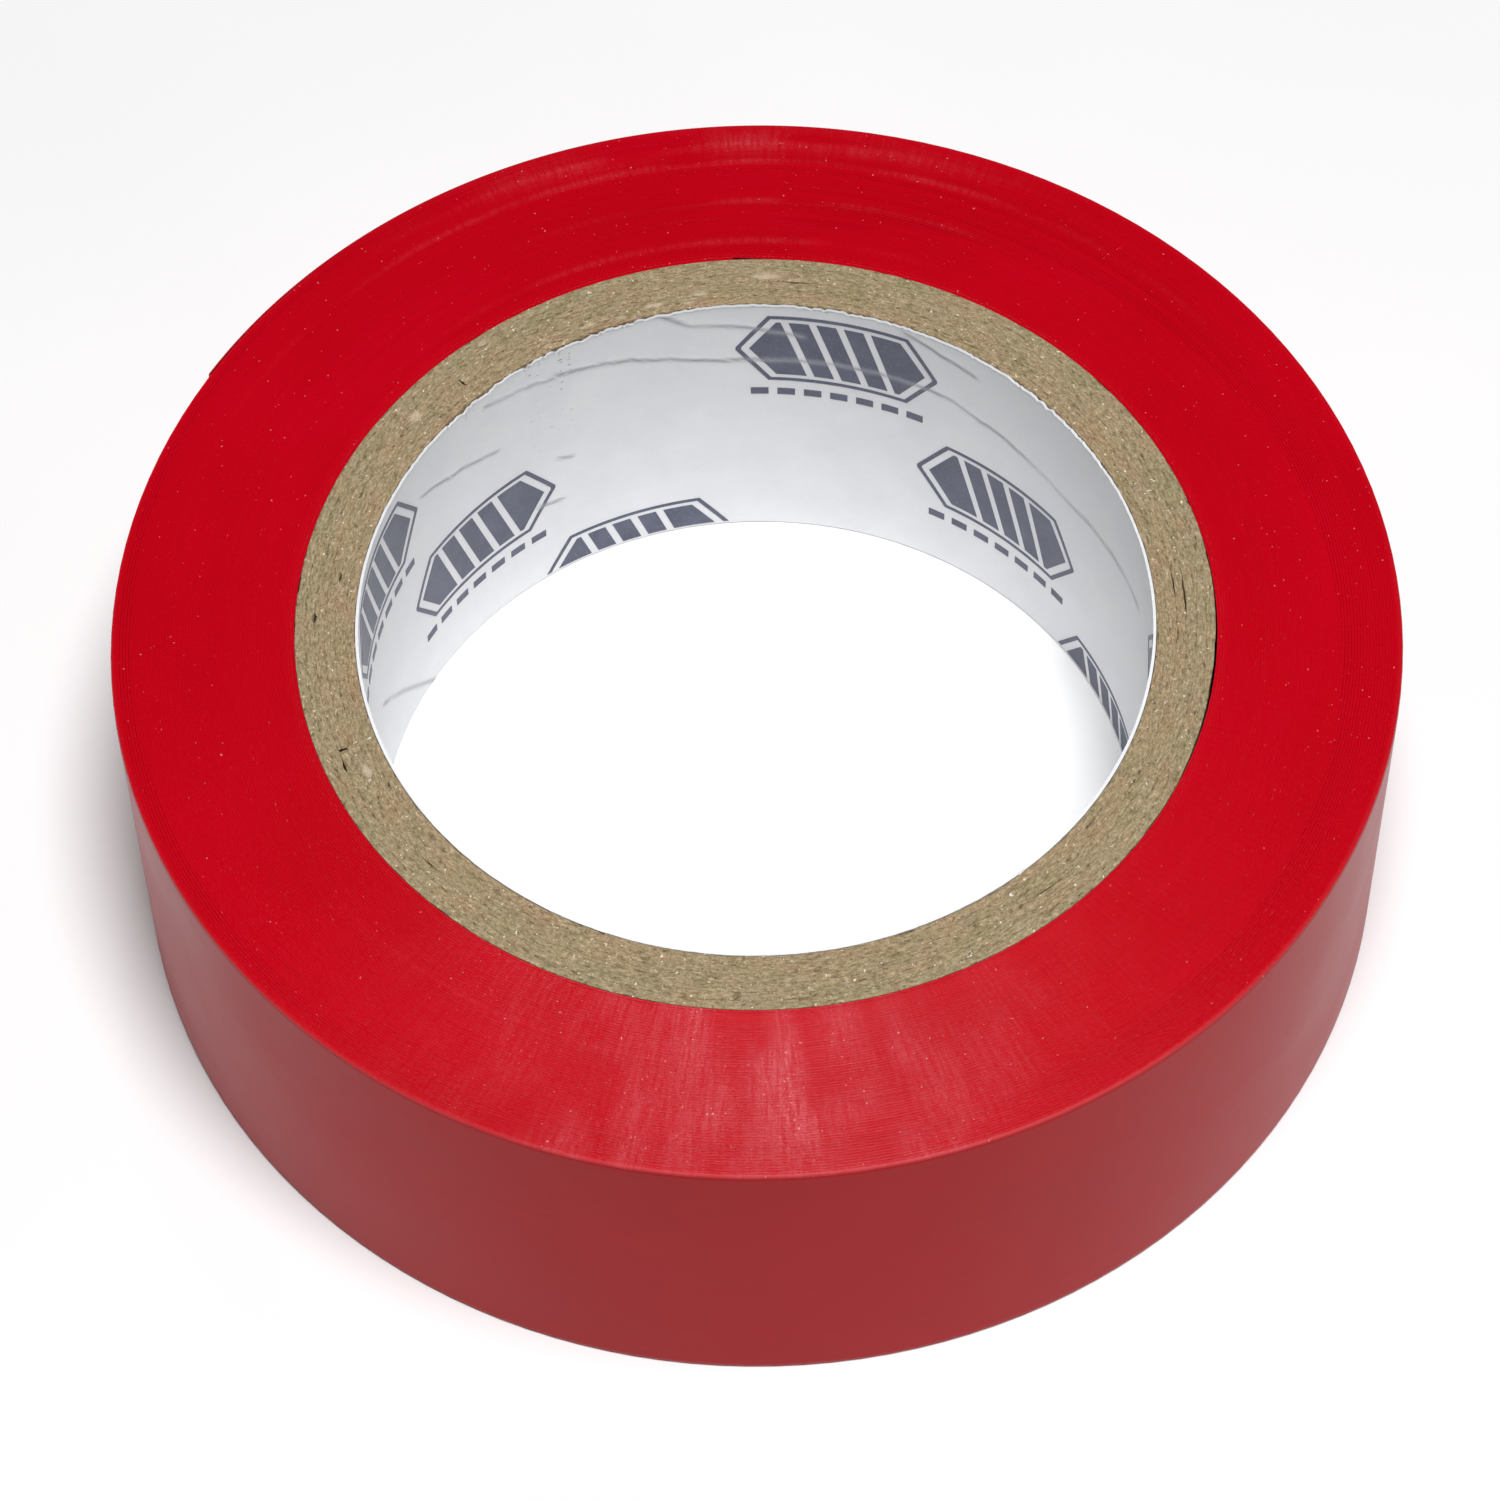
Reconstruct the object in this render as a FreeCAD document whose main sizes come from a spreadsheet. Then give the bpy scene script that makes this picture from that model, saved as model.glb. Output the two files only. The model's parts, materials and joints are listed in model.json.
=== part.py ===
"""Roll of 18 mm electrical tape on a 38 mm spiral-wound paperboard core, as named sub-parts in mm.

Frame: +Z along the axis of the roll, origin on the axis in the plane of the lower end face.
Azimuths turn from +X towards +Y.
The tape is one strip wound from the core outwards, in the direction of rising azimuth.
Its adhesive bonds the turns into one body, in which the edge of every turn still stands free.
The last stretch of the strip, the tail, is cut into short stiff segments that hinge where it flexes.
"""
import FreeCAD, Part
import math
import os

import Sketcher
from FreeCAD import Placement, Rotation, Vector

SIZES = [
    ("tape_width", 18.0, "width of the tape, and so the height of the roll and of its core"),
    ("bore_radius", 19.0, "inside radius of the printed liner: the roll's 38 mm bore"),
    ("liner_thickness", 0.12, "coated paper liner"),
    ("glue_line", 0.02, "glue between the layers of the core, and under the first turn of tape"),
    ("ply_thickness", 0.46, "one ply of core board"),
    ("ply_count", 6, "plies of core board, which make the core's wall 3 mm"),
    ("seam_run", 24.0, "how far a layer's seam runs sideways from one end face to the other"),
    ("seam_gap", 0.3, "width of a seam, measured sideways"),
    ("liner_seam_azimuth", 270.0, "azimuth of the middle of the liner's seam"),
    ("first_seam_azimuth", 325.0, "azimuth of the middle of the innermost ply's seam"),
    ("seam_step", 67.0, "turn from one ply's seam to the next ply's"),
    ("film_thickness", 0.12, "PVC film"),
    ("adhesive_thickness", 0.02, "adhesive on the inner side of the film"),
    ("full_turns", 62, "whole turns on the roll before the last part turn"),
    ("edge_depth", 0.25, "how far the adhesive stops short of the film's edges"),
    ("tail_azimuth", 78.0, "where the tail leaves the winding"),
    ("tail_segments", 8, "stiff segments in the tail"),
    ("tail_segment_angle", 9.0, "arc of one segment, about 4.8 mm of tape"),
    ("tail_cut", 0.05, "angle left open between neighbouring segments"),
    ("tail_clearance", 0.01, "air left under the tail so that it lifts freely"),
]


def build_sheet(doc):
    sheet = doc.addObject("Spreadsheet::Sheet", "dims")
    for row, (alias, value, meaning) in enumerate(SIZES, start=1):
        sheet.set(f"A{row}", alias)
        sheet.set(f"B{row}", str(value))
        sheet.set(f"C{row}", meaning)
        sheet.setAlias(f"B{row}", alias)
    doc.recompute()
    return sheet


def origin_feature(body, role):
    return next(item for item in body.Origin.OriginFeatures if item.Role == role)


def new_body(doc, label):
    body = doc.addObject("PartDesign::Body", label)
    body.Label = label
    return body


def new_sketch(body, name, role):
    sketch = body.newObject("Sketcher::SketchObject", name)
    sketch.AttachmentSupport = (origin_feature(body, role), [""])
    sketch.MapMode = "FlatFace"
    return sketch


def bind(sketch, name, expression, *constraint):
    """Adds a named dimension that follows the sheet."""
    index = sketch.addConstraint(Sketcher.Constraint(*constraint))
    sketch.renameConstraint(index, name)
    sketch.setExpression(f"Constraints.{name}", expression)


def circle(sketch, name, radius):
    edge = sketch.addGeometry(Part.Circle(Vector(0, 0, 0), Vector(0, 0, 1), 10.0))
    sketch.addConstraint(Sketcher.Constraint("Coincident", edge, 3, -1, 1))
    bind(sketch, name, radius, "Radius", edge, 10.0)


def quad(sketch, corners, guess):
    """A closed four-sided outline. Corners are (x, y) expressions, and guess is where they start."""
    lines = []
    for start, end in zip(guess, guess[1:] + guess[:1]):
        lines.append(sketch.addGeometry(Part.LineSegment(Vector(*start), Vector(*end))))
    for line, following in zip(lines, lines[1:] + lines[:1]):
        sketch.addConstraint(Sketcher.Constraint("Coincident", line, 2, following, 1))
    for number, (line, corner, start) in enumerate(zip(lines, corners, guess)):
        for axis, expression, value in zip("XY", corner, start):
            name = f"corner{number}{axis.lower()}"
            bind(sketch, name, expression, f"Distance{axis}", -1, 1, line, 1, value)


def wound_layer(doc, label, inner, outer, seam_azimuth):
    """One layer of the core: a strip wound round, open along the slanting butt seam of its edges."""
    body = new_body(doc, label)
    ring = new_sketch(body, f"{label}_ring", "XY_Plane")
    circle(ring, "inner_radius", inner)
    circle(ring, "outer_radius", outer)
    wall = body.newObject("PartDesign::Pad", f"{label}_wall")
    wall.Profile = ring
    wall.setExpression("Length", "dims.tape_width")
    doc.recompute()

    slit = new_sketch(body, f"{label}_slit", "YZ_Plane")
    near = "0.5 * dims.seam_run - 0.5 * dims.seam_gap"
    far = "0.5 * dims.seam_run + 0.5 * dims.seam_gap"
    corners = [
        (f"-({far})", "0"),
        (f"-({near})", "0"),
        (far, "dims.tape_width"),
        (near, "dims.tape_width"),
    ]
    quad(slit, corners, [(-12.2, 0.0), (-11.8, 0.0), (12.2, 18.0), (11.8, 18.0)])
    seam = body.newObject("PartDesign::Pocket", f"{label}_seam")
    seam.Profile = slit
    seam.Type = "ThroughAll"
    seam.Reversed = True
    body.Placement = Placement(Vector(0, 0, 0), Rotation(Vector(0, 0, 1), seam_azimuth))
    doc.recompute()
    return body


def core(doc, sheet):
    """The printed liner and the plies of board around it."""
    liner_outer = "dims.bore_radius + dims.liner_thickness"
    azimuth = sheet.liner_seam_azimuth
    layers = [wound_layer(doc, "core_liner", "dims.bore_radius", liner_outer, azimuth)]
    first = f"{liner_outer} + dims.glue_line"
    for number in range(int(sheet.ply_count)):
        inner = f"{first} + {number} * (dims.ply_thickness + dims.glue_line)"
        outer = f"{inner} + dims.ply_thickness"
        azimuth = sheet.first_seam_azimuth + number * sheet.seam_step
        layers.append(wound_layer(doc, f"core_ply_{number + 1}", inner, outer, azimuth))
    return layers


def turn_thickness(sheet):
    return sheet.film_thickness + sheet.adhesive_thickness


def tape_start_radius(sheet):
    """Radius of the tape's first turn: the outside of the core and its glue."""
    board = sheet.ply_count * (sheet.ply_thickness + sheet.glue_line)
    return sheet.bore_radius + sheet.liner_thickness + board + sheet.glue_line


def half_turn(sheet, number):
    """Centre and inside radius of a half turn of tape, counted from the start of the strip.

    The strip is a chain of half circles. Two centres, half a turn's thickness apart, take turns,
    and each half circle is larger than the last by that much, so the strip runs on with no step.
    """
    turn = turn_thickness(sheet)
    offset = -turn / 4 if number % 2 == 0 else turn / 4
    return Vector(offset, 0, 0), tape_start_radius(sheet) + turn / 4 + number * turn / 2


def spiral(sheet, first, last, stop, shift=0.0):
    """Arcs along half turns first to last, the last one ending at azimuth stop in degrees."""
    arcs = []
    for number in range(first, last + 1):
        centre, radius = half_turn(sheet, number)
        start = math.pi * (number % 2)
        end = math.radians(stop) if number == last else start + math.pi
        path = Part.Circle(centre, Vector(0, 0, 1), radius + shift)
        arcs.append(path.trim(start, end).toShape())
    return arcs


def first_point(edges):
    return edges[0].Vertexes[0].Point


def last_point(edges):
    return edges[-1].Vertexes[-1].Point


def closed_wire(edges):
    return Part.Wire(Part.sortEdges(edges)[0])


def extrusion(doc, name, face, height, base=None):
    """A flat outline, raised by an expression's height from the lower end face or from base."""
    outline = doc.addObject("Part::Feature", f"{name}_outline")
    outline.Shape = face
    if base:
        outline.setExpression(".Placement.Base.z", base)
    solid = doc.addObject("Part::Extrusion", name)
    solid.Base = outline
    solid.DirMode = "Custom"
    solid.Dir = Vector(0, 0, 1)
    solid.setExpression("LengthFwd", height)
    solid.Solid = True
    return solid


def tape_winding(doc, sheet):
    """Every turn up to the root of the tail, with a hair gap between the free edges of the turns."""
    last = 2 * int(sheet.full_turns)
    root = sheet.tail_azimuth - sheet.tail_cut / 2
    surface = spiral(sheet, last, last + 2, root)
    centre, radius = half_turn(sheet, last)
    under_tail = Part.Circle(centre, Vector(0, 0, 1), radius)
    surface[0] = under_tail.trim(math.radians(root), math.pi).toShape()
    step = Part.makeLine(last_point(surface), first_point(surface))
    inside = Part.Circle(Vector(0, 0, 0), Vector(0, 0, 1), tape_start_radius(sheet)).toShape()
    outlines = [closed_wire(surface + [step]), Part.Wire([inside])]
    bonded = Part.makeFace(outlines, "Part::FaceMakerBullseye")
    roll = extrusion(doc, "bonded_turns", bonded, "dims.tape_width")

    beyond_root = sheet.tail_azimuth + 1
    gap_inside = spiral(sheet, 2, last, beyond_root)
    gap_outside = spiral(sheet, 2, last, beyond_root, sheet.adhesive_thickness)
    ends = [
        Part.makeLine(first_point(gap_inside), first_point(gap_outside)),
        Part.makeLine(last_point(gap_inside), last_point(gap_outside)),
    ]
    gap = Part.Face(closed_wire(gap_inside + [ends[1]] + gap_outside + [ends[0]]))
    lower = extrusion(doc, "lower_edge_gap", gap, "dims.edge_depth")
    top = "dims.tape_width - dims.edge_depth"
    upper = extrusion(doc, "upper_edge_gap", gap, "dims.edge_depth", top)
    half_cut = doc.addObject("Part::Cut", "lower_edges")
    half_cut.Base = roll
    half_cut.Tool = lower
    winding = doc.addObject("Part::Cut", "tape_winding")
    winding.Label = "tape_winding"
    winding.Base = half_cut
    winding.Tool = upper
    doc.recompute()
    return winding


def tape_tail(doc, sheet):
    """The end of the strip, lying on the roll as short curved segments."""
    centre, radius = half_turn(sheet, 2 * int(sheet.full_turns))
    inner = f"{radius} + dims.tail_clearance"
    outer = f"{radius} + dims.film_thickness + dims.adhesive_thickness"
    corners = [(inner, "0"), (outer, "0"), (outer, "dims.tape_width"), (inner, "dims.tape_width")]
    segments = []
    for number in range(int(sheet.tail_segments)):
        label = f"tape_tail_{number + 1}"
        body = new_body(doc, label)
        section = new_sketch(body, f"{label}_section", "XZ_Plane")
        quad(section, corners, [(30.0, 0.0), (30.2, 0.0), (30.2, 18.0), (30.0, 18.0)])
        bend = body.newObject("PartDesign::Revolution", f"{label}_bend")
        bend.Profile = section
        bend.ReferenceAxis = (origin_feature(body, "Z_Axis"), [""])
        bend.setExpression("Angle", "dims.tail_segment_angle - dims.tail_cut")
        start = sheet.tail_azimuth + number * sheet.tail_segment_angle + sheet.tail_cut / 2
        body.Placement = Placement(centre, Rotation(Vector(0, 0, 1), start))
        doc.recompute()
        segments.append(body)
    return segments


def write_parts(doc, parts):
    doc.recompute()
    for item in doc.Objects:
        if "Invalid" in item.State or "Error" in item.State:
            raise RuntimeError(f"{item.Label} did not build: {item.State}")
    os.makedirs("parts", exist_ok=True)
    for part in parts:
        shape = part.Shape
        if shape.isNull() or not shape.isValid() or len(shape.Solids) != 1:
            raise RuntimeError(f"{part.Label} is not one valid solid")
        shape.exportStep(f"parts/{part.Label}.step")
        box = shape.BoundBox
        print(f"{part.Label}: {shape.Volume:.2f} mm3, z {box.ZMin:.3f} to {box.ZMax:.3f}")


def main():
    doc = FreeCAD.newDocument("tape_roll")
    sheet = build_sheet(doc)
    parts = core(doc, sheet)
    parts.append(tape_winding(doc, sheet))
    parts.extend(tape_tail(doc, sheet))
    write_parts(doc, parts)


main()
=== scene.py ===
"""Visual model of a roll of electrical tape: the wound film, its loose end, the core and its liner.

Lengths are in metres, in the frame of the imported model: +Z is the roll's axis, and the roll lies on
z = 0. Azimuths turn from +X towards +Y, in radians unless a comment says degrees. The camera stands
at 270 degrees, which is called the front here, and 90 degrees is the back.
"""
import json
import math

import bpy
import numpy as np
from mathutils import Matrix, Vector


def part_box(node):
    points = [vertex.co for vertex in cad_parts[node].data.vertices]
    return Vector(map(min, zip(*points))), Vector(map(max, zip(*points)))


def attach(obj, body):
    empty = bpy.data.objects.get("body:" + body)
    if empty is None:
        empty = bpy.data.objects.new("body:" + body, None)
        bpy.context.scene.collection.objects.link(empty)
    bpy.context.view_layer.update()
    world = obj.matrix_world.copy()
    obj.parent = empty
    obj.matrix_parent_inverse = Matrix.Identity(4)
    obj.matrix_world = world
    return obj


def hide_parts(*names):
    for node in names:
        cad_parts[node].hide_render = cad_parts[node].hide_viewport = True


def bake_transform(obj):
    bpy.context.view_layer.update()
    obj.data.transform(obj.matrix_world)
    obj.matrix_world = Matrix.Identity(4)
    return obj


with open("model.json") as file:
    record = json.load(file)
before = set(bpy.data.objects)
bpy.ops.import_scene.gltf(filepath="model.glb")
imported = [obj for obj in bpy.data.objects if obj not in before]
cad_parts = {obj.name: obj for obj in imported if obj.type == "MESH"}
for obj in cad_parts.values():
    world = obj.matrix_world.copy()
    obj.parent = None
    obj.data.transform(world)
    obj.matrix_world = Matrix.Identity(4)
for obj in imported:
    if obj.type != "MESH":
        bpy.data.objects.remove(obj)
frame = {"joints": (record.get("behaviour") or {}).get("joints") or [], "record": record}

MM = 0.001
TAU = 2 * math.pi
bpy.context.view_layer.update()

# sizes that the CAD model fixes
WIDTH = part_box("tape_winding")[1][2]
BORE = next(m for m in frame["record"]["mounts"] if m["name"] == "core_bore")["dims"]["r_mm"] * MM
LINER_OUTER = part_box("core_liner")[1][0]
PLY_BOXES = [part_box(f"core_ply_{number}") for number in range(1, 7)]
CORE_OUTER = PLY_BOXES[-1][1][0]
HINGES = [Vector(joint["pos_m"]) for joint in frame["joints"]]
TAIL_ROOT = math.atan2(HINGES[0].y, HINGES[0].x)
OUTER = HINGES[0].xy.length

# the strip of tape; its angle of travel is counted from azimuth 0 of its first turn
TURNS = 62
TURN = 0.14 * MM  # film and adhesive
GLUE_LINE = 0.02 * MM  # between the core and the first turn
FILM_GAP = 0.0015 * MM  # between one turn and the next
STRIP_START = math.radians(92)
SEGMENT_ARC = math.radians(9)
TAIL_START = TAU * TURNS + TAIL_ROOT
STRIP_END = TAIL_START + len(HINGES) * SEGMENT_ARC

# the butt seams of the board plies and the liner
SEAM_GAP = 0.3 * MM
SEAM_RUN = 24 * MM  # around the roll, from its lower end to its upper one


# ---- material nodes ----

def material(name):
    """A new node material.

    Returns it with a function that adds a node, one that links a value to its shader, and that
    shader.
    """
    made = bpy.data.materials.new(name)
    made.use_nodes = True
    tree = made.node_tree
    shader = tree.nodes["Principled BSDF"]

    def node(kind, inputs=(), **settings):
        new = tree.nodes.new(kind)
        for key, value in settings.items():
            setattr(new, key, value)
        for key, value in dict(inputs).items():
            if isinstance(value, bpy.types.NodeSocket):
                tree.links.new(value, new.inputs[key])
            else:
                new.inputs[key].default_value = value
        return new

    def feed(socket, value):
        tree.links.new(value, shader.inputs[socket])

    return made, node, feed, shader


def math_node(node, operation, first, second=0.0):
    return node("ShaderNodeMath", {0: first, 1: second}, operation=operation).outputs[0]


def ramp(node, factor, *stops):
    """A colour ramp through (position, colour) stops. A float stands for a grey."""
    made = node("ShaderNodeValToRGB", {"Fac": factor})
    elements = made.color_ramp.elements
    while len(elements) < len(stops):
        elements.new(0.5)
    for element, (position, colour) in zip(elements, stops):
        element.position = position
        element.color = (colour,) * 3 + (1,) if isinstance(colour, float) else (*colour, 1)
    return made.outputs["Color"]


def mix(node, factor, first, second, blend="MIX"):
    """A mix of two colours. Each argument is a socket or a plain value."""
    made = node("ShaderNodeMix", data_type="RGBA", blend_type=blend)
    for index, value in ((0, factor), (6, first), (7, second)):
        if isinstance(value, bpy.types.NodeSocket):
            made.id_data.links.new(value, made.inputs[index])
        elif index:
            made.inputs[index].default_value = (*value, 1)
        else:
            made.inputs[index].default_value = value
    return made.outputs[2]


def noise(node, vector, scale, detail=3.0, roughness=0.55):
    inputs = {"Vector": vector, "Scale": scale, "Detail": detail, "Roughness": roughness}
    return node("ShaderNodeTexNoise", inputs).outputs["Fac"]


def bump(node, height, distance, strength=1.0, under=None):
    """Relief from a height, on top of the relief under it if there is one."""
    inputs = {"Height": height, "Distance": distance, "Strength": strength}
    if under:
        inputs["Normal"] = under
    return node("ShaderNodeBump", inputs).outputs["Normal"]


def attribute(node, name):
    return node("ShaderNodeAttribute", attribute_name=name).outputs["Fac"]


def flat_place(node):
    """The spot that is shaded, with its height above the floor left out."""
    spot = node("ShaderNodeTexCoord").outputs["Object"]
    return node("ShaderNodeVectorMath", {0: spot, 1: (1, 1, 0)}, operation="MULTIPLY").outputs[0]


def roll_noise(node, around, outward, along, scale, detail=3.0, roughness=0.55):
    """Noise on the roll, with no seam.

    It reads the direction from the axis, the radius and the height, which the first three numbers
    stretch: the larger one is, the finer the noise is around the roll, outwards or along the axis.
    """
    spot = node("ShaderNodeTexCoord").outputs["Object"]
    split = node("ShaderNodeSeparateXYZ", {0: spot})
    flat = flat_place(node)
    radius = node("ShaderNodeVectorMath", {0: flat}, operation="LENGTH").outputs["Value"]
    direction = node("ShaderNodeVectorMath", {0: flat}, operation="NORMALIZE").outputs[0]
    stretched = {0: direction, "Scale": around}
    ring = node("ShaderNodeVectorMath", stretched, operation="SCALE").outputs[0]
    reach = math_node(node, "MULTIPLY", radius, outward)
    rise = math_node(node, "MULTIPLY", split.outputs[2], along)
    lift = node("ShaderNodeCombineXYZ", {2: math_node(node, "ADD", reach, rise)}).outputs[0]
    vector = node("ShaderNodeVectorMath", {0: ring, 1: lift}, operation="ADD").outputs[0]
    return noise(node, vector, scale, detail, roughness)


def radius_share(node, start, stop):
    """Rises from 0 at one radius of the roll to 1 at another."""
    flat = flat_place(node)
    radius = node("ShaderNodeVectorMath", {0: flat}, operation="LENGTH").outputs["Value"]
    limits = {"Value": radius, "From Min": start, "From Max": stop}
    return node("ShaderNodeMapRange", limits).outputs["Result"]


# ---- materials ----

def tape_edge_material():
    """The end face of the wound tape: glossy red with fine dust, and a paler red painted on as sheen
    and rubbing at the front and on the ridges and rim at the back.
    """
    made, node, feed, shader = material("tape_edge")
    scratches = roll_noise(node, around=42, outward=190, along=0, scale=3, roughness=0.6)
    rings = roll_noise(node, around=1.5, outward=7000, along=0, scale=1, roughness=0.6)
    weave = roll_noise(node, around=75, outward=2600, along=0, scale=3.2, detail=2)
    clouds = roll_noise(node, around=2.2, outward=160, along=0, scale=1.2, detail=2)
    specks = roll_noise(node, around=50, outward=2000, along=0, scale=3.2, detail=1)
    # painted sheen: this attribute says where the paler red is painted, at the front and on the
    # ridges and rim at the back, standing for rubbing there as well
    sheen_and_scuff = attribute(node, "sheen_and_scuff")
    sheen_and_rub_red, dust_and_sheen_pink = (0.64, 0.12, 0.14), (0.78, 0.38, 0.36)
    base = ramp(node, clouds, (0.3, (0.45, 0.0, 0.006)), (0.7, (0.49, 0.0, 0.008)))
    # the painted sheen is streaked radially and woven before it pales the red
    streaky_sheen = math_node(node, "MULTIPLY", sheen_and_scuff, ramp(node, scratches, (0.38, 0.35), (0.62, 1.35)))
    woven_sheen = math_node(node, "MULTIPLY", streaky_sheen, ramp(node, weave, (0.35, 0.5), (0.65, 1.3)))
    sheen_and_rubbing = mix(node, woven_sheen, base, sheen_and_rub_red)
    # the pink specks are dust, and more of them are painted where the sheen falls
    dust_and_sheen = math_node(node, "ADD", specks, math_node(node, "MULTIPLY", sheen_and_scuff, 0.22))
    dust_and_sheen_share = ramp(node, dust_and_sheen, (0.765, 0.0), (0.82, 0.6))
    feed("Base Color", mix(node, dust_and_sheen_share, sheen_and_rubbing, dust_and_sheen_pink))
    gloss = ramp(node, weave, (0.3, 0.17), (0.75, 0.28))
    at_rim = radius_share(node, OUTER - 0.35 * MM, OUTER - 0.05 * MM)
    feed("Roughness", math_node(node, "ADD", gloss, math_node(node, "MULTIPLY", at_rim, 0.3)))
    relief = bump(node, scratches, 0.02 * MM, 0.5)
    relief = bump(node, rings, 0.008 * MM, 0.3, relief)
    feed("Normal", bump(node, weave, 0.008 * MM, 0.5, relief))
    shader.inputs["Specular IOR Level"].default_value = 0.32
    return made


def tape_film_material():
    """The smooth outer side of the film: satin, with faint stretch lines along the strip."""
    made, node, feed, shader = material("tape_film")
    streaks = roll_noise(node, around=1.5, outward=0, along=900, scale=1.5)
    pores = roll_noise(node, around=50, outward=0, along=1600, scale=3, detail=2)
    clouds = roll_noise(node, around=2.5, outward=0, along=120, scale=1.0)
    streak_red = (0.44, 0.008, 0.012)
    base = ramp(node, clouds, (0.1, (0.36, 0.001, 0.004)), (0.9, (0.44, 0.005, 0.009)))
    feed("Base Color", mix(node, ramp(node, streaks, (0.1, 0.0), (0.9, 0.3)), base, streak_red))
    feed("Roughness", ramp(node, clouds, (0.1, 0.25), (0.9, 0.41)))
    relief = bump(node, streaks, 0.02 * MM, 0.35)
    feed("Normal", bump(node, pores, 0.004 * MM, 0.35, relief))
    shader.inputs["Specular IOR Level"].default_value = 0.08
    return made


def adhesive_material():
    """The tacky inner side of the film: darker and wetter, with small flow marks."""
    made, node, feed, shader = material("tape_adhesive")
    flow = roll_noise(node, around=14, outward=0, along=500, scale=2.5, detail=4)
    feed("Base Color", ramp(node, flow, (0.3, (0.22, 0.004, 0.008)), (0.7, (0.32, 0.008, 0.012))))
    feed("Roughness", ramp(node, flow, (0.3, 0.16), (0.7, 0.34)))
    feed("Normal", bump(node, flow, 0.02 * MM, 0.5))
    shader.inputs["Coat Weight"].default_value = 0.4
    shader.inputs["Coat Roughness"].default_value = 0.12
    return made


def board_material():
    """Grey-brown core board: matted fibres, pale flecks and scabs, and shallow pits painted dark as
    their shade.
    """
    made, node, feed, shader = material("core_board")
    fibres = roll_noise(
        node, around=14, outward=2100, along=600, scale=4.5, detail=5, roughness=0.68
    )
    grains = roll_noise(node, around=55, outward=2600, along=900, scale=4, roughness=0.6)
    mottle = roll_noise(node, around=5, outward=700, along=150, scale=2)
    flecks = roll_noise(node, around=28, outward=1500, along=800, scale=3.4, detail=2)
    pits = roll_noise(node, around=12, outward=1900, along=700, scale=3.1, detail=2)
    warm_inside, green_outside = (1.03, 0.975, 0.94), (0.985, 0.995, 0.955)
    fleck_cream, scab_tan, pit_shade_brown = (0.88, 0.82, 0.68), (0.72, 0.60, 0.46), (0.07, 0.05, 0.03)
    base = ramp(
        node,
        fibres,
        (0.28, (0.13, 0.10, 0.057)),
        (0.44, (0.32, 0.253, 0.158)),
        (0.60, (0.44, 0.358, 0.238)),
        (0.74, (0.72, 0.625, 0.47)),
    )
    grainy = mix(node, 0.8, base, ramp(node, grains, (0.3, 0.62), (0.7, 1.22)), "MULTIPLY")
    tones = ramp(
        node,
        mottle,
        (0.32, (0.80, 0.84, 0.70)),
        (0.50, (1, 0.98, 0.92)),
        (0.68, (1, 0.86, 0.78)),
    )
    across = mix(node, radius_share(node, LINER_OUTER, CORE_OUTER), warm_inside, green_outside)
    toned = mix(node, 1.0, mix(node, 0.7, grainy, tones, "MULTIPLY"), across, "MULTIPLY")
    flecked = mix(node, ramp(node, flecks, (0.68, 0.0), (0.73, 0.9)), toned, fleck_cream)
    scabbed = mix(node, attribute(node, "pale"), flecked, mix(node, 0.5, toned, scab_tan))
    # painted shade: the pits are painted near black, with only a shallow bump under them
    feed("Base Color", mix(node, ramp(node, pits, (0.25, 0.85), (0.32, 0.0)), scabbed, pit_shade_brown))
    feed("Roughness", ramp(node, grains, (0.3, 0.96), (0.7, 0.8)))
    relief = bump(node, fibres, 0.09 * MM, 0.9)
    relief = bump(node, grains, 0.05 * MM, 0.6, relief)
    feed("Normal", bump(node, pits, 0.05 * MM, 0.6, relief))
    shader.inputs["Specular IOR Level"].default_value = 0.25
    return made


def paper_material():
    """Coated white liner paper, a little mottled, with painted shade in grey lines along its folds,
    and greyer along its upper edge at the back.
    """
    made, node, feed, _ = material("liner_paper")
    mottle = roll_noise(node, around=3, outward=0, along=150, scale=2, detail=4)
    fibre = roll_noise(node, around=30, outward=0, along=1500, scale=4)
    fibre_grey, fold_shade_and_edge_grey = (0.66, 0.67, 0.70), (0.17, 0.175, 0.20)
    base = ramp(node, mottle, (0.3, (0.79, 0.80, 0.82)), (0.7, (0.86, 0.865, 0.875)))
    fine = mix(node, ramp(node, fibre, (0.3, 0.12), (0.6, 0.0)), base, fibre_grey)
    # painted shade: grey lines along the folds, and grey along the upper edge at the back
    feed("Base Color", mix(node, attribute(node, "fold"), fine, fold_shade_and_edge_grey))
    feed("Roughness", ramp(node, mottle, (0.3, 0.42), (0.7, 0.55)))
    relief = bump(node, mottle, 0.05 * MM, 0.3)
    feed("Normal", bump(node, fibre, 0.008 * MM, 0.4, relief))
    return made


def ink_material():
    """Slate blue print, thin enough for the paper's fibres to show, and worn along the folds."""
    made, node, feed, _ = material("liner_ink")
    fibre = roll_noise(node, around=40, outward=0, along=2200, scale=4)
    wash = roll_noise(node, around=5, outward=0, along=300, scale=2)
    speck_grey, worn_grey = (0.3, 0.31, 0.36), (0.42, 0.43, 0.47)
    base = ramp(node, wash, (0.3, (0.062, 0.070, 0.118)), (0.7, (0.095, 0.104, 0.160)))
    specked = mix(node, ramp(node, fibre, (0.55, 0.0), (0.75, 0.45)), base, speck_grey)
    feed("Base Color", mix(node, attribute(node, "fold"), specked, worn_grey))
    feed("Roughness", ramp(node, fibre, (0.3, 0.4), (0.7, 0.58)))
    feed("Normal", bump(node, fibre, 0.006 * MM, 0.4))
    return made


# ---- shapes in general ----

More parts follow.
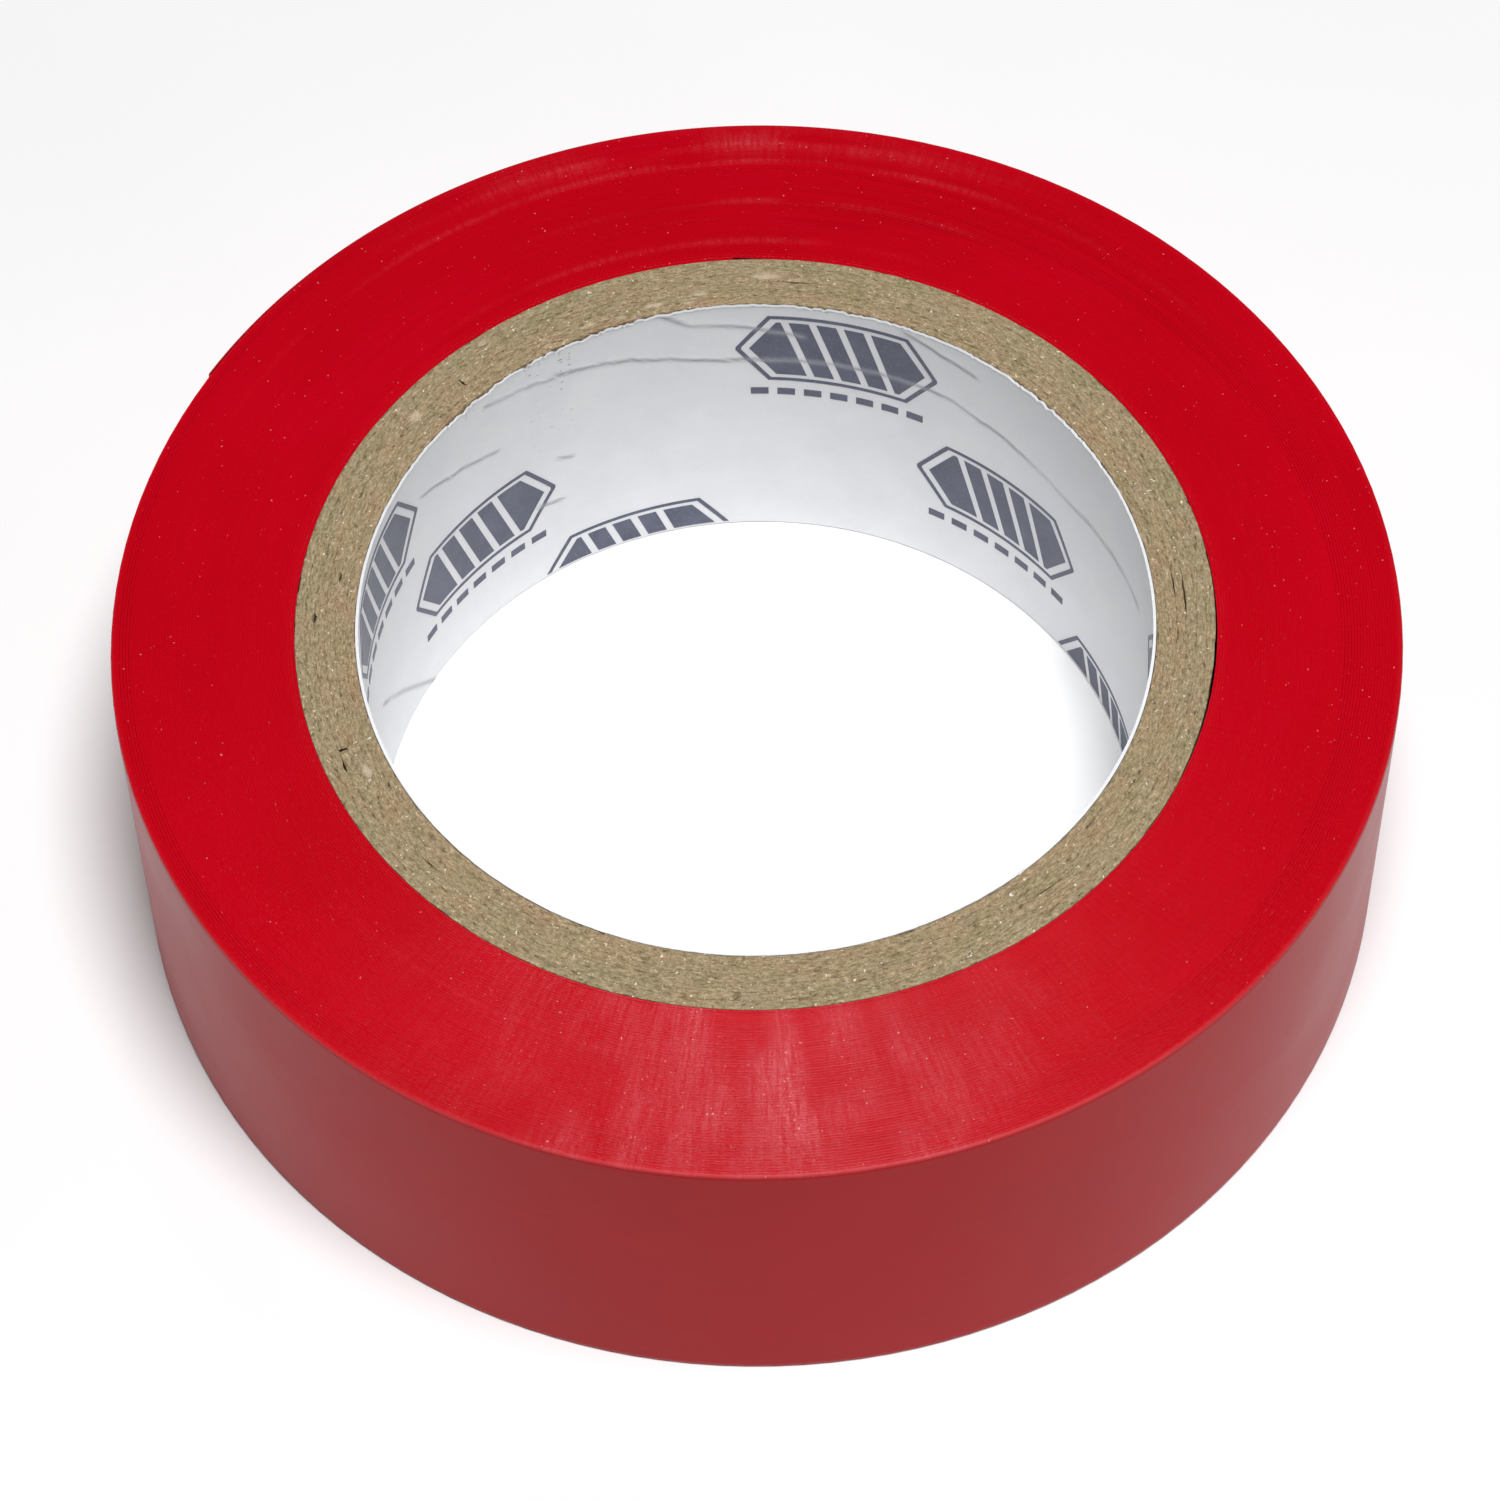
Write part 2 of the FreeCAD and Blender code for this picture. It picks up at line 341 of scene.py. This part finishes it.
def grain(azimuth, across, around, rows, seed):
    """Smooth random relief from -1 to 1.

    It has as many cells in a turn as around says, and one row of them for each unit of across.
    """
    table = np.random.default_rng(seed).uniform(-1, 1, (around, rows + 1))
    column = (np.asarray(azimuth) / TAU % 1) * around
    row = np.clip(np.asarray(across) * np.ones_like(column), 0, rows - 1e-6)
    left = np.floor(column).astype(int)
    low = np.floor(row).astype(int)
    x = column - left
    y = row - low
    x = x * x * (3 - 2 * x)
    y = y * y * (3 - 2 * y)
    left %= around
    right = (left + 1) % around
    lower = table[left, low] * (1 - x) + table[right, low] * x
    upper = table[left, low + 1] * (1 - x) + table[right, low + 1] * x
    return lower * (1 - y) + upper * y


def bell(distance, half_width):
    """1 at no distance, falling smoothly to about a third at half_width and on to 0."""
    return np.exp(-((np.asarray(distance) / half_width) ** 2))


def turned(azimuth, centre):
    """Signed angle from centre to azimuth, from -pi to pi."""
    return (np.asarray(azimuth) - centre + math.pi) % TAU - math.pi


def sector(azimuth, centre, half_width):
    """A bell around the roll. Its centre and half width are in degrees."""
    return bell(turned(azimuth, math.radians(centre)), math.radians(half_width))


def place(radius, azimuth, height):
    """Points on the roll from cylindrical coordinates of any matching shapes."""
    radius, azimuth, height = np.broadcast_arrays(radius, azimuth, height)
    return np.stack([radius * np.cos(azimuth), radius * np.sin(azimuth), height], axis=-1)


def solid_faces(rows, columns):
    """Faces of a closed solid through rows of looping points: quads along it, then its two ends."""
    row, column = np.meshgrid(np.arange(rows - 1), np.arange(columns), indexing="ij")
    row, column = row.ravel(), column.ravel()
    following = (column + 1) % columns
    corners = [(row, column), (row + 1, column), (row + 1, following), (row, following)]
    quads = np.stack([r * columns + c for r, c in corners], axis=-1)
    last = (rows - 1) * columns
    ends = [list(range(columns))[::-1], list(range(last, last + columns))]
    return quads.tolist() + ends


def mesh_piece(name, points, faces, face_materials, materials, sharp_degrees=50):
    mesh = bpy.data.meshes.new(name)
    mesh.from_pydata(points.tolist(), [], faces)
    for made in materials:
        mesh.materials.append(made)
    mesh.polygons.foreach_set("material_index", face_materials)
    mesh.shade_smooth()
    mesh.set_sharp_from_angle(angle=math.radians(sharp_degrees))
    mesh.update()
    piece = bpy.data.objects.new(name, mesh)
    bpy.context.collection.objects.link(piece)
    return piece


def swept(name, sections, side_materials, materials):
    """A closed solid through sections, an array of loops of points.

    side_materials gives each side of the loop its material, and the two ends have the first one.
    """
    rows, columns = sections.shape[:2]
    indices = np.tile(side_materials, rows - 1).tolist() + [0, 0]
    return mesh_piece(name, sections.reshape(-1, 3), solid_faces(rows, columns), indices, materials)


def set_attribute(piece, name, values):
    made = piece.data.attributes.new(name, "FLOAT", "POINT")
    made.data.foreach_set("value", np.asarray(values).ravel().astype(np.float32))


def even_shading(piece):
    """Lets the large faces set the shading, so that the small ones round the corners only."""
    modifier = piece.modifiers.new("normals", "WEIGHTED_NORMAL")
    modifier.mode = "FACE_AREA"
    modifier.keep_sharp = True


# ---- the tape ----

# the ramp in which each turn climbs over the one below it: its share of the first turn, and the
# turn from which it takes the whole turn
FIRST_RAMP = 0.012
EVEN_TURN = TURNS - 3

# where a ring of turns stands off its neighbours: radius in mm, azimuth and half width in degrees,
# height in mm of a ridge one turn wide, and of a step that all turns outside it share
RING_MARKS = [
    (28.4, 88, 34, 0.020, 0.0),
    (25.8, 82, 22, 0.012, 0.0),
    (29.6, 97, 20, 0.012, 0.0),
    (23.2, 95, 25, 0.010, 0.0),
    (27.3, 290, 26, 0.0, 0.016),
    (25.1, 250, 22, 0.008, 0.0),
    (24.4, 350, 40, 0.0, 0.010),
]

# how far the lower end's marks are turned from the upper end's, so that it isn't a copy
LOWER_END_TURN = 40.0

# material of each side of the film's section: edges, rounded corners, outer side and adhesive
EDGE, FILM, ADHESIVE = range(3)
SIDES = [EDGE, EDGE, FILM, FILM, FILM, EDGE, EDGE, ADHESIVE]


def strip_radius(travel):
    """Inner radius of the strip at an angle of travel.

    The first turn hugs the core and climbs over the strip's start in a short ramp. The ramp is
    longer on each turn than on the one before, and the last turns are an even spiral.
    """
    wound = (travel - STRIP_START) / TAU
    number = np.floor(wound)
    evenness = np.clip(number / EVEN_TURN, 0, 1)
    ramp_share = FIRST_RAMP ** (1 - evenness)
    climbed = np.clip((wound - number - 1 + ramp_share) / ramp_share, 0, 1)
    head_start = evenness * STRIP_START / TAU
    return CORE_OUTER + GLUE_LINE + TURN * (number + climbed + head_start)


def edge_height(radius, travel):
    """Height of the strip's upper edge: lower at the rim and the core, and a little uneven."""
    azimuth = travel % TAU
    number = travel / TAU
    below_end, rim_width, rim_drop = 0.03 * MM, 0.25 * MM, 0.06 * MM
    rim = rim_drop * np.clip((radius - OUTER) / rim_width + 1, 0, 1) ** 2.5
    dip = 0.04 * MM * bell(radius - CORE_OUTER, 0.3 * MM)
    wander = 0.004 * MM * grain(azimuth, number * 1.9, around=23, rows=130, seed=11)
    bands = 0.014 * MM * grain(azimuth, number * 0.45, around=5, rows=40, seed=12)
    marks = 0.0
    for ring_mm, centre, half_width, ridge, step in RING_MARKS:
        off = radius / MM - ring_mm
        shape = ridge * bell(off, 0.12) + step * np.clip(off / 0.14 + 0.5, 0, 1)
        marks = marks + sector(azimuth, centre, half_width) * shape
    return WIDTH - below_end - rim - dip + wander + bands + marks * MM


def sheen_and_scuffs(sections):
    """How much each point of the upper end is painted paler, from 0 to 0.6, as sheen and rubbing.

    The sheen is painted along its ridges, in a band by the rim at the back, and in radial smears at
    the front.
    """
    azimuth = np.arctan2(sections[..., 1], sections[..., 0])
    radius_mm = np.hypot(sections[..., 0], sections[..., 1]) / MM
    patchy = np.clip(0.5 + 0.9 * grain(azimuth, radius_mm * 1.5, around=60, rows=50, seed=13), 0, 1)
    # painted sheen and rubbing in a band by the rim at the back
    sheen_and_rubbing = 0.18 * sector(azimuth, 92, 20) * bell(radius_mm - 29.7, 0.7)
    for ring_mm, centre, half_width, ridge, _ in RING_MARKS:
        # painted highlight and rubbing along the ridges at the back
        on_ridge = sector(azimuth, centre, half_width) * bell(radius_mm - ring_mm, 0.16)
        sheen_and_rubbing = sheen_and_rubbing + 11 * ridge * on_ridge
    wide = np.clip(grain(azimuth, radius_mm * 0.22, around=110, rows=8, seed=14) + 0.25, 0, 1)
    narrow = np.clip(grain(azimuth, radius_mm * 0.4, around=260, rows=14, seed=15), 0, 1)
    # painted sheen: paler radial smears at the front, where the highlight falls
    front = 0.26 * sector(azimuth, 270, 24) * (wide + narrow)
    on_top = sections[..., 2] > WIDTH / 2
    return np.clip(sheen_and_rubbing * patchy + front, 0, 0.6) * on_top


def strip_sections(travel):
    """Loops of points round the film at each angle of travel.

    The outer corners are barely rounded on the hidden turns, and more on the last one, which shows.
    """
    inner = strip_radius(travel) + FILM_GAP
    outer = strip_radius(travel) + TURN
    fade_in = 0.05  # of a turn, before the last one
    shows = np.clip((travel - STRIP_END) / TAU + (1 + fade_in), 0, fade_in) / fade_in
    soft = (0.003 + 0.042 * shows) * MM  # radial size of the rounding
    deep = (0.003 + 0.30 * shows) * MM  # its size along the axis
    middle = 0.3  # where its middle point lies, as a share of both
    low_inner = WIDTH - edge_height(inner, travel + LOWER_END_TURN)
    low_outer = WIDTH - edge_height(outer - soft, travel + LOWER_END_TURN)
    top_inner = edge_height(inner, travel)
    top_outer = edge_height(outer - soft, travel)
    corners = [
        (inner, low_inner),
        (outer - soft, low_outer),
        (outer - middle * soft, low_outer + middle * deep),
        (outer, low_outer + deep),
        (outer, top_outer - deep),
        (outer - middle * soft, top_outer - middle * deep),
        (outer - soft, top_outer),
        (inner, top_inner),
    ]
    loops = [place(radius, travel, height) for radius, height in corners]
    return np.stack(loops, axis=1)


def wound_tape(tape_materials):
    """All the turns of the strip, from its start at the core to the root of the loose end."""
    step = math.radians(2.5)
    travel = np.linspace(STRIP_START, TAIL_START, int((TAIL_START - STRIP_START) / step) + 1)
    sections = strip_sections(travel)
    piece = swept("wound_tape", sections, SIDES, tape_materials)
    # painted sheen: where the end face is painted paler red
    set_attribute(piece, "sheen_and_scuff", sheen_and_scuffs(sections))
    even_shading(piece)
    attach(piece, "roll")
    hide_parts("tape_winding")


def loose_end(tape_materials):
    """The tail, one short stretch for each hinge.
    """
    for number, hinge in enumerate(HINGES):
        start = TAIL_START + number * SEGMENT_ARC
        sections = strip_sections(np.linspace(start, start + SEGMENT_ARC, 13))
        piece = swept(f"loose_end_{number + 1}", sections, SIDES, tape_materials)
        even_shading(piece)
        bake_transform(piece)
        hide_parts(f"tape_tail_{number + 1}")


# ---- the core ----

# where the plies have come apart at the upper end: azimuth and half width in degrees, the ply
# inside the opening, counted from 0, and the opening's width
SPLITS = [
    (2.0, 2.6, 2, 0.10 * MM),
    (4.0, 1.6, 1, 0.07 * MM),
    (179.0, 0.5, 3, 0.30 * MM),
    (172.0, 0.5, 1, 0.18 * MM),
    (83.0, 2.4, 2, 0.10 * MM),
    (203.0, 0.7, 3, 0.12 * MM),
    (222.0, 1.2, 2, 0.08 * MM),
    (310.0, 2.0, 2, 0.06 * MM),
]

# pale scabs on the upper end: azimuth in degrees, then radius, half length and half width in mm
SCABS = [
    (87.5, 20.9, 0.75, 0.22),
    (97.0, 20.0, 0.40, 0.16),
    (143.0, 20.6, 0.35, 0.28),
    (205.0, 20.2, 0.40, 0.20),
    (128.0, 21.5, 0.30, 0.12),
    (355.0, 21.2, 0.22, 0.12),
    (99.0, 19.5, 0.40, 0.10),
    (104.0, 19.7, 0.50, 0.12),
    (109.0, 19.5, 0.30, 0.10),
    (114.0, 19.6, 0.45, 0.13),
    (121.0, 19.5, 0.25, 0.10),
]


def seam_shift(radius, height):
    """How far round a seam is at a height, from where it is halfway up."""
    return np.arcsin((height / WIDTH - 0.5) * SEAM_RUN / radius)


def layer_boundary(index, azimuth):
    """Radius between board ply index, counted from 0, and the one outside it, a little uneven."""
    if index < 0:
        return LINER_OUTER + 0.003 * MM + 0 * azimuth
    radius = PLY_BOXES[index][1][0]
    if index == len(PLY_BOXES) - 1:
        shrunk = 0.09 * sector(azimuth, -12, 16)
        chipped = 0.05 * np.clip(grain(azimuth, 0.5, around=260, rows=1, seed=29) - 0.2, 0, 1)
        return radius - MM * (shrunk + chipped)
    waves = grain(azimuth, 0.5, around=90, rows=1, seed=30 + index)
    waves = waves + 0.6 * grain(azimuth, 0.5, around=400, rows=1, seed=40 + index)
    return radius + 0.05 * MM * waves


def split_opening(index, azimuth):
    """How wide the plies have come apart just outside ply index."""
    opening = 0 * azimuth
    for centre, half_width, ply_inside, width in SPLITS:
        if ply_inside == index:
            opening += width * sector(azimuth, centre, half_width)
    return opening


def pale_patches(radius, azimuth):
    """0.9 on a scab of the core, fading to 0 off it."""
    patches = 0 * radius
    for centre, middle, half_length, half_width in SCABS:
        along = turned(azimuth, math.radians(centre)) * middle / half_length
        across = (radius / MM - middle) / half_width
        patches = np.maximum(patches, np.clip(1.5 - 1.2 * (along**2 + across**2), 0, 0.9))
    return patches


def ply_section():
    """A ply's section, up its inside, over its top, down its outside and back.

    Returns each point's share of the way from the inner to the outer side, and its height.
    """
    wall = np.concatenate([[0.06, 0.3], np.linspace(1, 17, 15), [17.7, 17.94]]) * MM
    face = np.array([0.06, 0.24, 0.42, 0.60, 0.78, 0.94])
    share = np.concatenate([0 * wall, face, 0 * wall + 1, face[::-1]])
    height = np.concatenate([wall, 0 * face + WIDTH, wall[::-1], 0 * face])
    return share, height


def end_roughness(index, azimuth, share):
    """How far the cut end of a ply is sunk: rough, with a few holes, and worn at its edges."""
    rough = 0.5 * grain(azimuth, share * 5, around=1400, rows=5, seed=50 + index)
    rough = rough + 0.3 * grain(azimuth, share * 3, around=520, rows=3, seed=60 + index)
    rough = rough + 0.4 * grain(azimuth, share, around=120, rows=1, seed=70 + index)
    holes = np.clip(grain(azimuth, share * 3, around=330, rows=3, seed=80 + index) - 0.62, 0, 1)
    worn = np.abs(share - 0.5) > 0.4
    return 0.045 * MM * (rough + 0.6) + 0.45 * MM * holes + 0.03 * MM * worn


def board_ply(index, board, seam_azimuth):
    """One ply of core board, an open ring between the slanting edges of its seam."""
    nominal = PLY_BOXES[index][1][0]
    half_gap = SEAM_GAP / nominal / 2
    around = np.linspace(half_gap, TAU - half_gap, 1440)[:, None]
    share, height = ply_section()
    on_top = height > WIDTH / 2
    azimuth = seam_azimuth + around + seam_shift(nominal, height)[None, :]
    clearance = 0.003 * MM
    inner = layer_boundary(index - 1, azimuth) + clearance
    outer = layer_boundary(index, azimuth) - clearance
    near_top = bell(np.minimum(height, WIDTH - height), 0.6 * MM) * on_top
    inner = inner + 0.5 * split_opening(index - 1, azimuth) * near_top
    outer = outer - 0.5 * split_opening(index, azimuth) * near_top
    radius = inner + (outer - inner) * share
    if index == 0:
        frayed = grain(azimuth, 0.5, around=700, rows=1, seed=91) * 0.05 * MM * near_top
        radius = radius + np.where(share == 0, np.abs(frayed), 0)
    sunk = end_roughness(index, azimuth, share)
    on_end = (height == 0) | (height == WIDTH)
    height = np.where(on_end, np.where(on_top, height - sunk, height + sunk), height)
    sections = place(radius, azimuth, height)
    number = index + 1
    piece = swept(f"board_ply_{number}", sections, [0] * sections.shape[1], [board])
    set_attribute(piece, "pale", pale_patches(radius, azimuth) * on_top)
    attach(piece, "roll")
    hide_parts(f"core_ply_{number}")


def core_plies(board):
    """The six plies, each with its seam a little further round than the one inside it."""
    first_seam, seam_step = 325, 67
    for index in range(len(PLY_BOXES)):
        board_ply(index, board, math.radians(first_seam + seam_step * index))


# ---- the liner ----

# folds in the liner: (azimuth in degrees, depth in mm below the upper end) along each fold
FOLDS = [
    [(134, 1.0), (122, 2.0), (112, 2.6), (103, 3.6), (94, 4.3)]
    + [(60, 4.2), (46, 5.2), (34, 5.8), (10, 4.6)],
    [(103, 0.3), (99, 1.2), (94, 1.5), (82, 2.3)],
    [(149, 3.0), (140, 4.2), (132, 5.1)],
    [(169, 12.0), (160, 15.0), (149, 18.6)],
    [(121, 8.7), (119, 9.0)],
    [(125, 11.8), (121, 12.1)],
    [(66, 0.4), (58, 1.3), (54, 1.5)],
    [(290, 12.4), (315, 13.3), (338, 12.6)],
]


def fold_distance(azimuth, height):
    """Distance along the liner to its nearest fold."""
    closest = np.full(np.broadcast(azimuth, height).shape, 1.0)
    uneven = 0.10 * MM * grain(azimuth, 0.5, around=150, rows=1, seed=95)
    uneven = uneven + 0.06 * MM * grain(azimuth, 0.5, around=420, rows=1, seed=94)
    for fold in FOLDS:
        points = [(math.radians(degrees), WIDTH - depth * MM) for degrees, depth in fold]
        for (azimuth_a, height_a), (azimuth_b, height_b) in zip(points, points[1:]):
            along = BORE * turned(azimuth, azimuth_a)
            up = height - height_a - uneven
            run = BORE * (azimuth_b - azimuth_a)
            rise = height_b - height_a
            share = np.clip((along * run + up * rise) / (run * run + rise * rise), 0, 1)
            closest = np.minimum(closest, np.hypot(along - share * run, up - share * rise))
    return closest


def liner_bulge(azimuth, height):
    """How far the liner stands off its nominal radius, towards the axis."""
    fold = bell(fold_distance(azimuth, height), 0.16 * MM)
    waves = grain(azimuth, height / WIDTH * 4, around=18, rows=4, seed=96)
    return 0.035 * MM * fold + 0.015 * MM * waves


def liner_edge(azimuth):
    """How far the upper edge of the liner, torn in three places, lies below the roll's end."""
    torn = sector(azimuth, 125, 24) + 0.5 * sector(azimuth, 75, 12) + 0.45 * sector(azimuth, 38, 20)
    fine = np.abs(grain(azimuth, 0.5, around=700, rows=1, seed=97))
    fine = fine + 0.6 * np.abs(grain(azimuth, 0.5, around=240, rows=1, seed=98))
    return (0.02 + 0.38 * torn * fine + 0.04 * fine) * MM


def paper_liner(paper):
    """The liner, an open ring between the slanting edges of its seam at the front."""
    seam_azimuth = math.radians(270)
    half_gap = SEAM_GAP / BORE / 2
    around = np.linspace(half_gap, TAU - half_gap, 760)[:, None]
    inside = np.linspace(0, 1, 100)
    outside = np.linspace(1, 0, 12)
    share = np.concatenate([inside, outside])  # of the way up
    is_inside = np.concatenate([inside * 0 + 1, outside * 0])
    azimuth = seam_azimuth + around + seam_shift(BORE, share * WIDTH)[None, :]
    low = 0.02 * MM
    height = low + share * (WIDTH - liner_edge(azimuth) - low)
    edge_curl = 0.03 * MM * bell(height - WIDTH, 0.3 * MM)
    bore_side = BORE - liner_bulge(azimuth, height) - edge_curl
    radius = np.where(is_inside > 0, bore_side, LINER_OUTER - 0.01 * MM)
    sections = place(radius, azimuth, height)
    piece = swept("paper_liner", sections, [0] * sections.shape[1], [paper])
    # painted shade along the folds: how far each point is painted grey
    fold = bell(fold_distance(azimuth, height), 0.12 * MM) * is_inside
    blotches = grain(azimuth, height / WIDTH * 3, around=70, rows=3, seed=99)
    patchy = np.clip(0.8 + 0.5 * blotches, 0, 1)
    cut_edge = 0.4 * (share == 1) * sector(azimuth, 90, 80)
    set_attribute(piece, "fold", np.maximum(0.8 * fold * patchy, cut_edge))
    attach(piece, "roll")
    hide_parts("core_liner")


class Print:
    """Collects flat printed shapes on the liner, each a thin closed solid, for one mesh."""

    half_ink = 0.02 * MM  # how far the ink reaches out of the paper and into it
    low_limit, high_limit = 0.2 * MM, WIDTH - 0.5 * MM  # the print stays between them

    def __init__(self):
        self.points = []
        self.faces = []

    def add(self, across, height):
        """One shape from a grid of places: distance around the bore from azimuth 0, and height."""
        azimuth = across / BORE
        rows, columns = across.shape
        paper = BORE - liner_bulge(azimuth, height)
        front = place(paper - self.half_ink, azimuth, height)
        back = place(paper + self.half_ink, azimuth, height)
        loops = np.concatenate([front, back[:, ::-1]], axis=1)
        offset = sum(len(part) for part in self.points)
        self.points.append(loops.reshape(-1, 3))
        faces = solid_faces(rows, 2 * columns)
        self.faces += [[corner + offset for corner in face] for face in faces]

    def patch(self, left, right, low, high):
        """A filled shape between two side lines, functions of height, cut at the print's limits."""
        smallest, cell = 0.1 * MM, 0.2 * MM
        low = max(low, self.low_limit)
        high = min(high, self.high_limit)
        if high - low < smallest:
            return
        height = np.linspace(low, high, 3 + int((high - low) / cell))[:, None]
        start, stop = left(height), right(height)
        share = np.linspace(0, 1, 3 + int((stop - start).max() / cell))[None, :]
        self.add(start + (stop - start) * share, height + 0 * share)

    def piece(self, ink):
        points = np.concatenate(self.points)
        inks = [0] * len(self.faces)
        made = mesh_piece("liner_print", points, self.faces, inks, [ink], sharp_degrees=30)
        azimuth = np.arctan2(points[:, 1], points[:, 0])
        set_attribute(made, "fold", 0.6 * bell(fold_distance(azimuth, points[:, 2]), 0.16 * MM))
        return made


def badge(sheet, centre, middle):
    """A made-up mark: a hatched long hexagon in an outline, over a row of dashes.

    centre is its distance around the bore from azimuth 0, and middle its height.
    """
    half_width, half_height, point = 5.3 * MM, 2.55 * MM, 1.7 * MM
    side_line, rim_line = 0.28 * MM, 0.22 * MM
    low, high = middle - half_height, middle + half_height

    def side(inset, direction):
        """The pointed left or right side of the hexagon, moved in by inset."""
        def line(height):
            rise = np.abs(height - middle) / half_height
            return centre + direction * (half_width - inset - point * rise)
        return line

    def straight(offset, slant=0.0):
        """A line at an offset from the centre, which may lean to the right."""
        return lambda height: centre + offset + slant * (height - middle)

    sheet.patch(side(0, -1), side(side_line, -1), low, high)
    sheet.patch(side(side_line, 1), side(0, 1), low, high)
    sheet.patch(side(side_line, -1), side(side_line, 1), low, low + rim_line)
    sheet.patch(side(side_line, -1), side(side_line, 1), high - rim_line, high)

    side_inset, rim_inset, half_gap, slant = 0.75 * MM, 0.5 * MM, 0.2 * MM, 0.32
    gaps = [offset * MM for offset in (-2.1, -0.7, 0.7, 2.1)]
    starts = [side(side_inset, -1)] + [straight(offset + half_gap, slant) for offset in gaps]
    stops = [straight(offset - half_gap, slant) for offset in gaps] + [side(side_inset, 1)]
    for start, stop in zip(starts, stops):
        sheet.patch(start, stop, low + rim_inset, high - rim_inset)

    dashes, dash, pitch, thick, below = 7, 0.9 * MM, 1.35 * MM, 0.5 * MM, 1.15 * MM
    for number in range(dashes):
        left = (number - (dashes - 1) / 2) * pitch - dash / 2
        sheet.patch(straight(left), straight(left + dash), low - below, low - below + thick)


def liner_print(ink):
    """The print: four badges round the bore, on rows that step down with the liner's helix."""
    sheet = Print()
    rows, repeats = 3, 4
    first_azimuth, first_depth = math.radians(76.4), 3.4 * MM
    row_turn, row_drop = math.radians(-28.6), 7.35 * MM
    for row in range(rows):
        for repeat in range(repeats):
            azimuth = first_azimuth + row * row_turn + repeat * TAU / repeats
            badge(sheet, azimuth * BORE, WIDTH - first_depth - row * row_drop)
    piece = sheet.piece(ink)
    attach(piece, "roll")


# ---- the studio ----

def floor():
    """A pale floor, just under the roll."""
    bpy.ops.mesh.primitive_plane_add(size=4, location=(0, 0, -0.05 * MM))
    ground = bpy.context.object
    ground.name = "floor"
    made, node, feed, shader = material("pale_floor")
    tone = noise(node, node("ShaderNodeTexCoord").outputs["Object"], scale=30, detail=2)
    feed("Base Color", ramp(node, tone, (0.3, (0.86, 0.86, 0.865)), (0.7, (0.88, 0.88, 0.885))))
    shader.inputs["Roughness"].default_value = 0.9
    ground.data.materials.append(made)


def softbox(name, location, target, size, power):
    light = bpy.data.lights.new(name, "AREA")
    light.shape = "DISK"
    light.size = size
    light.energy = power
    lamp = bpy.data.objects.new(name, light)
    bpy.context.collection.objects.link(lamp)
    lamp.location = location
    lamp.rotation_euler = (Vector(target) - Vector(location)).to_track_quat("-Z", "Y").to_euler()


def lights():
    """A soft light above the front, a small weak one above the back, and a dim white surround."""
    softbox("key", location=(0.05, -0.13, 0.62), target=(0, 0, 0.01), size=0.25, power=4.7)
    softbox("back", location=(0.0, 0.26, 0.56), target=(0, 0, 0.02), size=0.05, power=0.085)
    world = bpy.data.worlds.new("studio")
    world.use_nodes = True
    background = world.node_tree.nodes["Background"]
    background.inputs["Color"].default_value = (1, 1, 1, 1)
    background.inputs["Strength"].default_value = 0.025
    bpy.context.scene.world = world


def camera():
    """Looks down from the front, 56 degrees above the floor, a little off level."""
    distance, elevation, tilt = 248.4 * MM, math.radians(55.77), math.radians(-1.09)
    target = Vector((-0.38 * MM, -7.76 * MM, WIDTH))
    back = Vector((0, -math.cos(elevation), math.sin(elevation)))
    right = Vector((1, 0, 0))
    up = back.cross(right)
    level = Matrix((right, up, back)).transposed()
    lens = bpy.data.cameras.new("camera")
    lens.sensor_width = 36
    lens.lens = 127.1
    lens.clip_start = 0.01
    view = bpy.data.objects.new("camera", lens)
    bpy.context.collection.objects.link(view)
    turn = level @ Matrix.Rotation(tilt, 3, "Z")
    view.matrix_world = Matrix.Translation(target + back * distance) @ turn.to_4x4()
    bpy.context.scene.camera = view


def main():
    tape_materials = [tape_edge_material(), tape_film_material(), adhesive_material()]
    wound_tape(tape_materials)
    loose_end(tape_materials)
    core_plies(board_material())
    paper_liner(paper_material())
    liner_print(ink_material())
    floor()
    lights()
    camera()
    bpy.context.scene.view_settings.view_transform = "Standard"


main()
